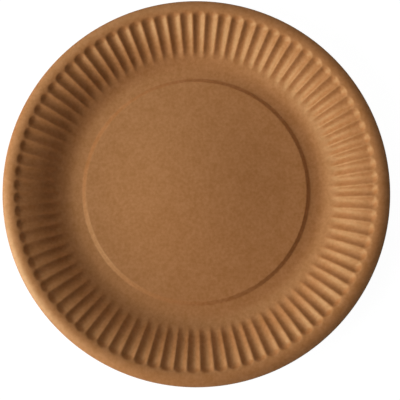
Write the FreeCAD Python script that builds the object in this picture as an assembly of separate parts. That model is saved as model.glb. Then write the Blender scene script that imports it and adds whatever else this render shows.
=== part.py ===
import FreeCAD, Part
import math
import os

# Driving dimensions of the plate, in millimetres and degrees

# The round blank of paperboard that the plate is pressed from
blank_diameter = 230.0
board = 0.5
# How far the pressed shape sits from the middle of the blank, to the side and up
press_offset_x = -0.3
press_offset_y = 0.9

# Widths of the pressed shape's bands, from the blank's edge inwards
lip_width = 1.1
rim_bend_width = 6.5
shoulder_width = 15.9
wall_width = 4.9
heel_width = 10.3
foot_width = 4.2
step_bend_width = 1.0
step_fall_width = 1.7

# Slopes of the board where its bends meet
step_angle = 35.0
wall_angle = 44.5
shoulder_angle = 20.0
rim_angle = 27.0

# Share of the rim's falling bend where its faces change slope
rim_row_share = 0.68

# How far the middle of the panel bulges up, and where its faces change slope as shares of its radius
dome_rise = 3.0
dome_middle_share = 0.22
dome_bend_share = 0.66
# Flutes that one corner of the smallest face in the panel's middle spans
dome_corner_flutes = 3

# The ring of flutes pressed into the wall
flute_count = 84
first_flute_angle = 3.5
flute_depth = 1.85
# Widths along one flute, from the heel outwards
flute_lead_width = 3.2
groove_fade_width = 5.6
cap_width = 2.2
cap_close_width = 1.4
# How far the closed end of the flute reaches past the shoulder
flute_overrun = 1.0
# Share of the full depth where the rounded cap has half closed
cap_depth_share = 0.45

# Share of the half pitch where the groove's floor ends, and where its side bends, with the depth there
floor_share = 0.30
bend_share = 0.68
bend_depth_share = 0.45

# Board that the blank's outline trims away at its narrowest
trim_allowance = 1.1

# Radii of the pressed shape, worked out from the widths
blank_radius = blank_diameter / 2.0
rim_limit = blank_radius + math.hypot(press_offset_x, press_offset_y) + trim_allowance
rim_bend_end = blank_radius - lip_width
shoulder = rim_bend_end - rim_bend_width
wall_top = shoulder - shoulder_width
heel_end = wall_top - wall_width
foot_outer = heel_end - heel_width
foot_inner = foot_outer - foot_width
step_low = foot_inner - step_bend_width
step_high = step_low - step_fall_width
panel_edge = step_high - step_bend_width
dome_bend = dome_bend_share * panel_edge
dome_middle = dome_middle_share * panel_edge

# Radii along one flute
flute_start = heel_end - flute_lead_width
heel_middle = (foot_outer + flute_start) / 2.0
groove_start = flute_start + groove_fade_width
flute_end = shoulder + flute_overrun
cap_middle = flute_end - cap_close_width
cap_start = cap_middle - cap_width
groove_middle = (groove_start + cap_start) / 2.0

# Radius of the rim's highest line, where its bend is level
shoulder_rise = math.sin(math.radians(shoulder_angle))
rim_fall = math.sin(math.radians(rim_angle))
crest = shoulder + rim_bend_width * shoulder_rise / (shoulder_rise + rim_fall)
rim_row = crest + rim_row_share * (rim_bend_end - crest)

flute_pitch = 2.0 * math.pi / flute_count
half_pitch = flute_pitch / 2.0

# Where the board's upper face changes its bend, each with its slope
stations = [
    (panel_edge, 0.0),
    (step_high, -step_angle),
    (step_low, -step_angle),
    (foot_inner, 0.0),
    (foot_outer, 0.0),
    (heel_end, wall_angle),
    (wall_top, wall_angle),
    (shoulder, shoulder_angle),
    (rim_bend_end, -rim_angle),
    (rim_limit, -rim_angle),
]


# Height gained and slope reached at a radius inside one bend, which is an arc or a straight run
def along_bend(radius, start, start_slope, end, end_slope):
    first = math.radians(start_slope)
    last = math.radians(end_slope)
    if start_slope == end_slope:
        return (radius - start) * math.tan(first), first
    bend = (end - start) / (math.sin(last) - math.sin(first))
    slope = math.asin(math.sin(first) + (radius - start) / bend)
    return bend * (math.cos(first) - math.cos(slope)), slope


# Height above the panel's edge, and slope, of the bulge in the middle of the panel
def along_dome(radius):
    share = radius / panel_edge
    rest = 1.0 - share * share
    return dome_rise * rest * rest, math.atan(-4.0 * dome_rise * share * rest / panel_edge)


# Height above the panel's edge, and slope, of the board's upper face at a radius
def section_above_panel(radius):
    if radius < panel_edge:
        return along_dome(radius)
    height = 0.0
    slope = 0.0
    for (start, start_slope), (end, end_slope) in zip(stations, stations[1:]):
        if radius <= start:
            break
        gain, slope = along_bend(min(radius, end), start, start_slope, end, end_slope)
        height += gain
    return height, slope


# The foot's upper face lies one board above the table
panel_height = board - section_above_panel(foot_outer)[0]


# A point of the section, on the upper face or a depth below it, square to the board
def section_point(radius, depth):
    height, slope = section_above_panel(radius)
    down = panel_height + height - depth * math.cos(slope)
    return FreeCAD.Vector(radius + depth * math.sin(slope), 0.0, down)


# Places across one flute, as shares of the half pitch, with the share of the groove's depth there
across_flute = [
    (-1.0, 0.0),
    (-bend_share, bend_depth_share),
    (-floor_share, 1.0),
    (floor_share, 1.0),
    (bend_share, bend_depth_share),
    (1.0, 0.0),
]


# The points of one row across a flute, on the face that lies a depth below the upper one
def flute_row(radius, groove, depth):
    points = []
    for share, groove_share in across_flute:
        ridge = section_point(radius, groove * groove_share + depth)
        angle = share * half_pitch
        points.append(FreeCAD.Vector(ridge.x * math.cos(angle), ridge.x * math.sin(angle), ridge.z))
    return points


# The two ends of a row that runs straight across a flute's pitch
def plain_row(radius, depth):
    point = section_point(radius, depth)
    across = point.x * math.tan(half_pitch)
    return [FreeCAD.Vector(point.x, -across, point.z), FreeCAD.Vector(point.x, across, point.z)]


def flat_face(corners):
    return Part.Face(Part.makePolygon(corners + corners[:1]))


# Faces between two rows with as many points, two triangles for each step across
def faces_between(inner, outer):
    faces = []
    last = len(inner) - 1
    for step in range(last):
        if step < last / 2:
            faces.append(flat_face([inner[step], inner[step + 1], outer[step + 1]]))
            faces.append(flat_face([inner[step], outer[step + 1], outer[step]]))
        else:
            faces.append(flat_face([inner[step], inner[step + 1], outer[step]]))
            faces.append(flat_face([inner[step + 1], outer[step + 1], outer[step]]))
    return faces


# A fan of faces that closes a groove's row on to the straight end of the flute
def fan_faces(plain, row):
    half = len(row) // 2
    faces = []
    for step in range(half - 1):
        faces.append(flat_face([plain[0], row[step], row[step + 1]]))
        faces.append(flat_face([plain[1], row[-1 - step], row[-2 - step]]))
    faces.append(flat_face([plain[0], row[half - 1], plain[1]]))
    faces.append(flat_face([row[half - 1], row[half], plain[1]]))
    return faces


# Faces of one flute, from the smooth heel to the smooth rim
def flute_faces(depth):
    rows = []
    for radius in (groove_start, groove_middle, cap_start):
        rows.append(flute_row(radius, flute_depth * radius / cap_start, depth))
    rows.append(flute_row(cap_middle, flute_depth * cap_depth_share, depth))
    faces = fan_faces(plain_row(flute_start, depth), rows[0])
    for inner, outer in zip(rows, rows[1:]):
        faces += faces_between(inner, outer)
    faces += fan_faces(plain_row(flute_end, depth), rows[-1])
    return faces


# Flat runs of the section across one flute's pitch
def run_faces(depth, radii):
    rows = [plain_row(radius, depth) for radius in radii]
    return [flat_face([a[0], a[1], b[1], b[0]]) for a, b in zip(rows, rows[1:])]


# One flute's share of the panel, foot, wall and rim, on the face that lies a depth below the upper one
def plate_sector(depth):
    faces = run_faces(depth, [dome_bend, panel_edge, step_high, step_low, foot_inner, foot_outer])
    faces += run_faces(depth, [foot_outer, heel_middle, flute_start])
    faces += flute_faces(depth)
    faces += run_faces(depth, [flute_end, crest, rim_row, rim_limit])
    return faces


# Turn of one flute's sector round the plate, in degrees
def sector_turn(flute):
    return first_flute_angle + math.degrees(flute * flute_pitch)


# The corner between two flutes' sectors at a radius
def sector_corner(radius, depth, flute):
    corner = plain_row(radius, depth)[0]
    return FreeCAD.Rotation(FreeCAD.Vector(0, 0, 1), sector_turn(flute)).multVec(corner)


# The middle of the bulging panel: a ring of triangles round a flat face with fewer corners
def middle_faces(depth):
    faces = []
    corners = []
    for flute in range(0, flute_count, dome_corner_flutes):
        start = sector_corner(dome_middle, depth, flute)
        end = sector_corner(dome_middle, depth, (flute + dome_corner_flutes) % flute_count)
        outer = []
        for step in range(dome_corner_flutes + 1):
            outer.append(sector_corner(dome_bend, depth, (flute + step) % flute_count))
        faces.append(flat_face([start, outer[0], outer[1]]))
        faces.append(flat_face([start, outer[1], end]))
        for a, b in zip(outer[1:], outer[2:]):
            faces.append(flat_face([end, a, b]))
        corners.append(start)
    faces.append(flat_face(corners))
    return faces


# The edge that joins the upper and lower faces, before the blank's outline trims it away
def closing_face():
    upper = plain_row(rim_limit, 0.0)
    lower = plain_row(rim_limit, board)
    return flat_face([upper[0], upper[1], lower[1], lower[0]])


def pressed_plate():
    sector = plate_sector(0.0) + plate_sector(board) + [closing_face()]
    faces = middle_faces(0.0) + middle_faces(board)
    for flute in range(flute_count):
        for face in sector:
            copy = face.copy()
            copy.rotate(FreeCAD.Vector(0, 0, 0), FreeCAD.Vector(0, 0, 1), sector_turn(flute))
            faces.append(copy)
    skin = Part.makeCompound(faces)
    skin.sewShape()
    plate = Part.makeSolid(skin.Shells[0])
    if plate.Volume < 0:
        plate.reverse()
    return plate


# The blank's outline, as a round block off the centre of the pressed shape
def blank_block():
    tall = 100.0
    corner = FreeCAD.Vector(-press_offset_x, -press_offset_y, -tall / 2.0)
    return Part.makeCylinder(blank_radius, tall, corner)


def build_plate():
    plate = pressed_plate().common(blank_block())
    plate.translate(FreeCAD.Vector(press_offset_x, press_offset_y, 0))
    return plate.Solids[0]


os.makedirs("parts", exist_ok=True)
plate = build_plate()
plate.exportStep("parts/plate.step")
box = plate.BoundBox
print("plate", round(box.XLength, 2), round(box.YLength, 2), round(box.ZLength, 2), "mm")
print("volume", round(plate.Volume, 1), "valid", plate.isValid(), "faces", len(plate.Faces))
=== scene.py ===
import math
import random

import bmesh
import bpy
from mathutils import Matrix, Vector


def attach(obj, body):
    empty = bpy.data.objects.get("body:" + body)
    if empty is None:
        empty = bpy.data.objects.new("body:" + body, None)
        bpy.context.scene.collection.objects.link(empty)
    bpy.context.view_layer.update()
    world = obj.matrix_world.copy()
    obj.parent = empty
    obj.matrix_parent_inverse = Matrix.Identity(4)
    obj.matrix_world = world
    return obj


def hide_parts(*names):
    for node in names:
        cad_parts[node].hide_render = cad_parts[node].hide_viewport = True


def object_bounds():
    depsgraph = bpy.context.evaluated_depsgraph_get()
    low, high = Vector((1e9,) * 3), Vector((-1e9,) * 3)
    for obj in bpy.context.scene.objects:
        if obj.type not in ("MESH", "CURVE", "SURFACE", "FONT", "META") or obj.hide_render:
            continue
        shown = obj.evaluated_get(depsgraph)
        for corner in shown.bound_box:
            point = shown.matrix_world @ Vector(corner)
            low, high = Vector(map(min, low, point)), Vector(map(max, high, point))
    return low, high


mm = 0.001

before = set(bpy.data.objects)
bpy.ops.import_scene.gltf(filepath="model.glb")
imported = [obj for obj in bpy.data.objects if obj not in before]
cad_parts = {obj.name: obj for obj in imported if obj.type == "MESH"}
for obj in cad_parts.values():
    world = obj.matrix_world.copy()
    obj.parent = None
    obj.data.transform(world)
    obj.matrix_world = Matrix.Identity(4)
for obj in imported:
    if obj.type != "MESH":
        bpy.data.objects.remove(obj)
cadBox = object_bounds()
print("frame loaded", [round(side / mm, 1) for side in Vector(cadBox[1]) - Vector(cadBox[0])], "mm")


# sRGB hex to the linear values that shaders take
def linear(hexColour):
    channels = [int(hexColour[i:i + 2], 16) / 255 for i in (1, 3, 5)]
    return [c / 12.92 if c <= 0.04045 else ((c + 0.055) / 1.055) ** 2.4 for c in channels] + [1.0]


# everything about the pressed board, in millimetres and degrees
pressedPlate = {
    "boardThickness": 0.5,
    "pressOffset": (-0.3, 0.9),  # the mould sat this far off the middle of the blank
    "flutes": 84,
    "firstFlute": 3.5,         # degrees from +X to the middle of the first groove
    "stepsPerFlute": 12,
    "panelSteps": 2,           # per flute, on the smooth middle
    "domeRows": 12,            # rows of faces from one radius to the next
    "stepRows": 4,
    "heelRows": 6,
    "wallRows": 20,
    "capRows": 8,
    "rimRows": 12,
    "mergeReach": 0.05,        # closes the seam between the middle and the wall
    "flatHub": 0.5,            # radius of the one face in the very middle
    "domeRise": 3.0,
    "panelEdge": 68.4,         # radii of the bends in the board, from the middle outwards
    "stepHigh": 69.4,
    "stepLow": 71.1,
    "footInner": 72.1,
    "footOuter": 76.3,
    "heelEnd": 86.6,
    "wallTop": 91.5,
    "shoulder": 107.4,
    "rimBendEnd": 113.9,
    "rimLimit": 117.1,
    "stepAngle": 35.0,         # slopes between the bends
    "wallAngle": 44.5,
    "shoulderAngle": 20.0,
    "rimAngle": 27.0,
    "grooveDepth": 1.85,
    "grooveStart": 83.4,
    "grooveFade": 7.0,         # the groove gets deeper over this width
    "capStart": 104.8,
    "capLength": 3.0,          # the groove's rounded outer end
    "ridgePower": 1.35,        # 1 makes the ridges sharp, and more makes them rounder
    "seam": 82.4,              # radius where the coarse middle meets the fine wall
    "depthWobble": 0.07,       # shares of the groove's depth and of the pitch
    "ridgeWobble": 0.035,
    "seed": 7,
}


def stations(p):
    return [(p["panelEdge"], 0.0), (p["stepHigh"], -p["stepAngle"]), (p["stepLow"], -p["stepAngle"]),
            (p["footInner"], 0.0), (p["footOuter"], 0.0), (p["heelEnd"], p["wallAngle"]),
            (p["wallTop"], p["wallAngle"]), (p["shoulder"], p["shoulderAngle"]),
            (p["rimBendEnd"], -p["rimAngle"]), (p["rimLimit"], -p["rimAngle"])]


# height of the upper face above the panel's edge: a low dome, then arcs and straight runs
def heightAbovePanel(p, radius):
    if radius < p["panelEdge"]:
        return p["domeRise"] * (1 - (radius / p["panelEdge"]) ** 2) ** 2
    height = 0.0
    marks = stations(p)
    for (start, startSlope), (end, endSlope) in zip(marks, marks[1:]):
        if radius <= start:
            break
        reach = min(radius, end) - start
        first, last = math.radians(startSlope), math.radians(endSlope)
        if startSlope == endSlope:
            height += reach * math.tan(first)
        else:
            bend = (end - start) / (math.sin(last) - math.sin(first))
            height += bend * (math.cos(first) - math.cos(math.asin(math.sin(first) + reach / bend)))
    return height


def sectionHeight(p, radius):
    return p["boardThickness"] + heightAbovePanel(p, radius) - heightAbovePanel(p, p["footOuter"])


# how deep the groove is at a share of the pitch (0 to 1) and a radius
def grooveDepth(p, share, radius, depth):
    fade = min(max((radius - p["grooveStart"]) / p["grooveFade"], 0), 1)
    full = depth * fade * fade * (3 - 2 * fade) * radius / p["capStart"]
    side = 2 * share - 1
    cap = max(radius - p["capStart"], 0) / p["capLength"]
    return full * max(1 - side * side - cap * cap, 0) ** p["ridgePower"]


# which groove a direction falls in, and where between that groove's two ridges
def findGroove(p, angle, ridges):
    place = ((angle - math.radians(p["firstFlute"])) / math.tau * p["flutes"] + 0.5) % p["flutes"]
    groove = int(place)
    if place < groove + ridges[groove]:
        groove -= 1
    elif place > groove + 1 + ridges[(groove + 1) % p["flutes"]]:
        groove += 1
    start = groove + ridges[groove % p["flutes"]]
    end = groove + 1 + ridges[(groove + 1) % p["flutes"]]
    return groove % p["flutes"], (place - start) / (end - start)


# distance from the mould's centre to the cut edge in one direction
def cutRadius(p, angle, blankRadius):
    x, y = p["pressOffset"]
    along = -x * math.cos(angle) - y * math.sin(angle)
    across = x * math.sin(angle) - y * math.cos(angle)
    return along + math.sqrt(blankRadius ** 2 - across ** 2)


def spread(start, end, count):
    return [start + (end - start) * i / count for i in range(count + 1)]


# a section line of vertices, spun once round the plate's axis
def spinSection(bm, radii, steps):
    line = [bm.verts.new((radius, 0, 0)) for radius in radii]
    edges = [bm.edges.new(pair) for pair in zip(line, line[1:])]
    bmesh.ops.spin(bm, geom=line + edges, cent=(0, 0, 0), axis=(0, 0, 1), angle=math.tau,
                   steps=steps, use_merge=True)


def buildPlate(p):
    rng = random.Random(p["seed"])
    blankRadius = (cadBox[1][0] - cadBox[0][0]) / 2 / mm
    rimStart = p["capStart"] + p["capLength"]
    depths = [p["grooveDepth"] * (1 + rng.uniform(-1, 1) * p["depthWobble"]) for _ in range(p["flutes"])]
    ridges = [rng.uniform(-1, 1) * p["ridgeWobble"] for _ in range(p["flutes"])]

    # the smooth middle, with few steps round, then split at its border to match the wall
    bm = bmesh.new()
    middleRadii = spread(p["flatHub"], p["panelEdge"], p["domeRows"])
    middleRadii += spread(p["panelEdge"], p["stepHigh"], p["stepRows"])[1:]
    middleRadii += spread(p["stepLow"], p["footInner"], p["stepRows"])
    middleRadii += spread(p["footOuter"], p["seam"], p["heelRows"])
    spinSection(bm, middleRadii, p["flutes"] * p["panelSteps"])
    border = [e for e in bm.edges if e.is_boundary and e.verts[0].co.length > p["footOuter"]]
    bmesh.ops.subdivide_edges(bm, edges=border, cuts=p["stepsPerFlute"] // p["panelSteps"] - 1)
    hub = [e for e in bm.edges if e.is_boundary and e.verts[0].co.length < p["panelEdge"]]
    bmesh.ops.holes_fill(bm, edges=hub, sides=0)

    # the fluted wall and rim, with many steps round
    wallRadii = spread(p["seam"], p["capStart"], p["wallRows"])
    wallRadii += spread(p["capStart"], rimStart, p["capRows"])[1:]
    wallRadii += spread(rimStart, blankRadius, p["rimRows"])[1:]
    spinSection(bm, wallRadii, p["flutes"] * p["stepsPerFlute"])
    bmesh.ops.remove_doubles(bm, verts=bm.verts, dist=p["mergeReach"])

    # press the shape into the flat sheet, and stretch the rim to the blank's cut edge
    x, y = p["pressOffset"]
    for v in bm.verts:
        radius = math.hypot(v.co.x, v.co.y)
        angle = math.atan2(v.co.y, v.co.x)
        if radius > rimStart:
            edge = cutRadius(p, angle, blankRadius)
            radius = rimStart + (radius - rimStart) * (edge - rimStart) / (blankRadius - rimStart)
        height = sectionHeight(p, radius)
        if radius > p["grooveStart"]:
            groove, share = findGroove(p, angle, ridges)
            height -= grooveDepth(p, share, radius, depths[groove])
        v.co = Vector((x + radius * math.cos(angle), y + radius * math.sin(angle), height)) * mm
    bmesh.ops.recalc_face_normals(bm, faces=bm.faces)
    if sum(f.normal.z for f in bm.faces) < 0:
        bmesh.ops.reverse_faces(bm, faces=bm.faces)

    mesh = bpy.data.meshes.new("pressedPlate")
    bm.to_mesh(mesh)
    bm.free()
    mesh.shade_smooth()
    plate = bpy.data.objects.new("pressedPlate", mesh)
    bpy.context.scene.collection.objects.link(plate)
    board = plate.modifiers.new("board", "SOLIDIFY")
    board.thickness = p["boardThickness"] * mm
    board.offset = -1          # the board's other face lies below this one
    board.use_even_offset = True
    return plate


# adds one node, with its settings and what feeds its inputs
def addNode(tree, kind, settings=None, inputs=None):
    node = tree.nodes.new(kind)
    for key, value in (settings or {}).items():
        setattr(node, key, value)
    for key, value in (inputs or {}).items():
        if isinstance(value, bpy.types.NodeSocket):
            tree.links.new(value, node.inputs[key])
        else:
            node.inputs[key].default_value = value
    return node


kraftBoard = {
    "light": "#B47A4C",
    "dark": "#A46A3A",
    "fibreLength": 1.9,      # mm, drawn coarser than the real fibres, which are too fine to show
    "cloudSize": 7.0,        # mm
    "cloudShare": 0.35,      # the rest of the mottling is fibres
    "fibreContrast": 0.16,   # how far from the middle value the noise reaches full colour
    "roughness": 0.52,
    "specular": 0.6,
    "sheen": "#FFF8BC",      # warm, chosen so that the lit ridges look yellow and not pink
    "fibreDepth": 0.008,     # mm
    "wrinkleWidth": 1.5,     # mm round the rim
    "wrinkleLength": 9.0,    # mm across the rim
    "wrinkleDepth": 0.05,    # mm
    "wrinkleStart": 106.5,   # mm from the mould's centre
    "wrinkleFull": 110.0,
}


# unbleached kraft paperboard, pressed hot between steel dies: brown, fibrous, with a faint sheen
def kraftBoardMaterial(k, p):
    material = bpy.data.materials.new("pressedKraftBoard")
    material.use_nodes = True
    tree = material.node_tree
    tree.nodes.clear()
    place = addNode(tree, "ShaderNodeTexCoord").outputs["Object"]

    # short fibres and wide pale clouds, as pulp settles on the wire
    fibres = addNode(tree, "ShaderNodeTexNoise", {}, {
        "Vector": place, "Scale": 1 / (k["fibreLength"] * mm), "Detail": 2.0, "Roughness": 0.5})
    clouds = addNode(tree, "ShaderNodeTexNoise", {}, {
        "Vector": place, "Scale": 1 / (k["cloudSize"] * mm), "Detail": 2.0, "Roughness": 0.5})
    mottle = addNode(tree, "ShaderNodeMix", {"data_type": "FLOAT"}, {
        "Factor": k["cloudShare"], "A": fibres.outputs["Fac"], "B": clouds.outputs["Fac"]})
    shade = addNode(tree, "ShaderNodeMapRange", {}, {
        "Value": mottle.outputs["Result"], "From Min": 0.5 - k["fibreContrast"],
        "From Max": 0.5 + k["fibreContrast"]})
    colour = addNode(tree, "ShaderNodeMix", {"data_type": "RGBA"}, {
        "Factor": shade.outputs["Result"], "A": linear(k["dark"]), "B": linear(k["light"])})

    # fine gathers that run across the rim, where the flat board was pressed into a smaller ring
    x, y = p["pressOffset"]
    centred = addNode(tree, "ShaderNodeVectorMath", {"operation": "SUBTRACT"}, {
        0: place, 1: (x * mm, y * mm, 0)})
    flat = addNode(tree, "ShaderNodeVectorMath", {"operation": "MULTIPLY"}, {
        0: centred.outputs[0], 1: (1, 1, 0)})
    radius = addNode(tree, "ShaderNodeVectorMath", {"operation": "LENGTH"}, {0: flat.outputs[0]})
    direction = addNode(tree, "ShaderNodeVectorMath", {"operation": "NORMALIZE"}, {0: flat.outputs[0]})
    around = addNode(tree, "ShaderNodeVectorMath", {"operation": "SCALE"}, {
        0: direction.outputs[0], "Scale": k["wrinkleFull"] / k["wrinkleWidth"]})
    across = addNode(tree, "ShaderNodeMath", {"operation": "DIVIDE"}, {
        0: radius.outputs["Value"], 1: k["wrinkleLength"] * mm})
    lift = addNode(tree, "ShaderNodeCombineXYZ", {}, {"Z": across.outputs[0]})
    gather = addNode(tree, "ShaderNodeVectorMath", {"operation": "ADD"}, {
        0: around.outputs[0], 1: lift.outputs[0]})
    wrinkles = addNode(tree, "ShaderNodeTexNoise", {}, {
        "Vector": gather.outputs[0], "Scale": 1.0, "Detail": 1.0, "Roughness": 0.5})
    onRim = addNode(tree, "ShaderNodeMapRange", {"interpolation_type": "SMOOTHSTEP"}, {
        "Value": radius.outputs["Value"], "From Min": k["wrinkleStart"] * mm,
        "From Max": k["wrinkleFull"] * mm})
    rimHeight = addNode(tree, "ShaderNodeMath", {"operation": "MULTIPLY"}, {
        0: wrinkles.outputs["Fac"], 1: onRim.outputs["Result"]})
    gathered = addNode(tree, "ShaderNodeBump", {}, {
        "Height": rimHeight.outputs[0], "Distance": k["wrinkleDepth"] * mm, "Strength": 1.0})
    fibrous = addNode(tree, "ShaderNodeBump", {}, {
        "Height": fibres.outputs["Fac"], "Distance": k["fibreDepth"] * mm, "Strength": 1.0,
        "Normal": gathered.outputs["Normal"]})

    shader = addNode(tree, "ShaderNodeBsdfPrincipled", {}, {
        "Base Color": colour.outputs["Result"], "Normal": fibrous.outputs["Normal"],
        "Roughness": k["roughness"], "Specular IOR Level": k["specular"],
        "Specular Tint": linear(k["sheen"])})
    addNode(tree, "ShaderNodeOutputMaterial", {}, {"Surface": shader.outputs["BSDF"]})
    return material


plate = buildPlate(pressedPlate)
plate.data.materials.append(kraftBoardMaterial(kraftBoard, pressedPlate))
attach(plate, "root")
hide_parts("plate")
print("plate pressed:", len(plate.data.vertices), "vertices on the upper face")

# a white table by a low soft window on the left, in metres unless a line says otherwise
studio = {
    "floorColour": "#F2F2F0",
    "floorSize": 3.0,
    "cameraFloor": 0.9,        # share of plain white in what the camera sees of the floor
    "floorWhite": 1.08,
    "worldLevel": 0.101,
    "worldSeen": 1.0,          # what the camera sees past the table
    "window": {"azimuth": 199.4, "elevation": 22.0, "distance": 0.8, "width": 0.7, "height": 0.45,
               "power": 9.35, "aim": (0, 0.3)},
    "fill": {"azimuth": 126.4, "elevation": 48.0, "distance": 0.8, "width": 0.5, "height": 0.5,
             "power": 1.74, "aim": (0, 0)},
    "cameraTilt": 5.4,         # degrees from straight above, towards -Y
    "cameraDistance": 0.33,
    "lens": 47.239,            # mm
    "filmWidth": 36.0,         # mm
    "aim": (1.981, -5.124),    # mm
}


# turns a lamp or camera to a point, with the top of its view level and towards +Y
def faceTowards(viewer, target):
    back = (viewer.location - target).normalized()
    side = Vector((0, 1, 0)).cross(back).normalized()
    viewer.rotation_euler = Matrix((side, back.cross(side), back)).transposed().to_euler()


# a soft lamp that looks at the plate from a direction
def addLamp(name, s):
    light = bpy.data.lights.new(name, "AREA")
    light.shape = "RECTANGLE"
    light.size = s["width"]
    light.size_y = s["height"]
    light.energy = s["power"]
    lamp = bpy.data.objects.new(name, light)
    bpy.context.scene.collection.objects.link(lamp)
    azimuth, elevation = math.radians(s["azimuth"]), math.radians(s["elevation"])
    direction = Vector((math.cos(azimuth) * math.cos(elevation), math.sin(azimuth) * math.cos(elevation),
                        math.sin(elevation)))
    lamp.location = direction * s["distance"]
    faceTowards(lamp, Vector((*s["aim"], 0)))


# matt white table that the camera sees as nearly plain white, with the plate's shadow still on it
def addFloor(s):
    bpy.ops.mesh.primitive_plane_add(size=s["floorSize"], location=(0, 0, 0))
    floor = bpy.context.object
    floor.name = "whiteTable"
    material = bpy.data.materials.new("whiteTable")
    material.use_nodes = True
    tree = material.node_tree
    tree.nodes.clear()
    seen = addNode(tree, "ShaderNodeLightPath").outputs["Is Camera Ray"]
    matt = addNode(tree, "ShaderNodeBsdfDiffuse", {}, {"Color": linear(s["floorColour"])})
    white = addNode(tree, "ShaderNodeEmission", {}, {"Strength": s["floorWhite"]})
    share = addNode(tree, "ShaderNodeMath", {"operation": "MULTIPLY"}, {0: seen, 1: s["cameraFloor"]})
    both = addNode(tree, "ShaderNodeMixShader", {}, {
        0: share.outputs[0], 1: matt.outputs[0], 2: white.outputs[0]})
    addNode(tree, "ShaderNodeOutputMaterial", {}, {"Surface": both.outputs[0]})
    floor.data.materials.append(material)


def buildStudio(s):
    scene = bpy.context.scene
    scene.view_settings.view_transform = "Standard"

    # a dim even room that lights the shadows, and that the camera sees as white
    world = bpy.data.worlds.new("softRoom")
    scene.world = world
    world.use_nodes = True
    tree = world.node_tree
    tree.nodes.clear()
    seen = addNode(tree, "ShaderNodeLightPath").outputs["Is Camera Ray"]
    level = addNode(tree, "ShaderNodeMapRange", {}, {
        "Value": seen, "To Min": s["worldLevel"], "To Max": s["worldSeen"]})
    room = addNode(tree, "ShaderNodeBackground", {}, {
        "Color": (1, 1, 1, 1), "Strength": level.outputs["Result"]})
    addNode(tree, "ShaderNodeOutputWorld", {}, {"Surface": room.outputs["Background"]})
    addFloor(s)
    addLamp("window", s["window"])
    addLamp("fill", s["fill"])

    camera = bpy.data.cameras.new("fromAbove")
    camera.lens = s["lens"]
    camera.sensor_width = s["filmWidth"]
    viewer = bpy.data.objects.new("fromAbove", camera)
    scene.collection.objects.link(viewer)
    tilt = math.radians(s["cameraTilt"])
    target = Vector((*s["aim"], 0)) * mm
    viewer.location = Vector((0, -math.sin(tilt), math.cos(tilt))) * s["cameraDistance"]
    faceTowards(viewer, target)
    scene.camera = viewer


buildStudio(studio)
print("studio ready")
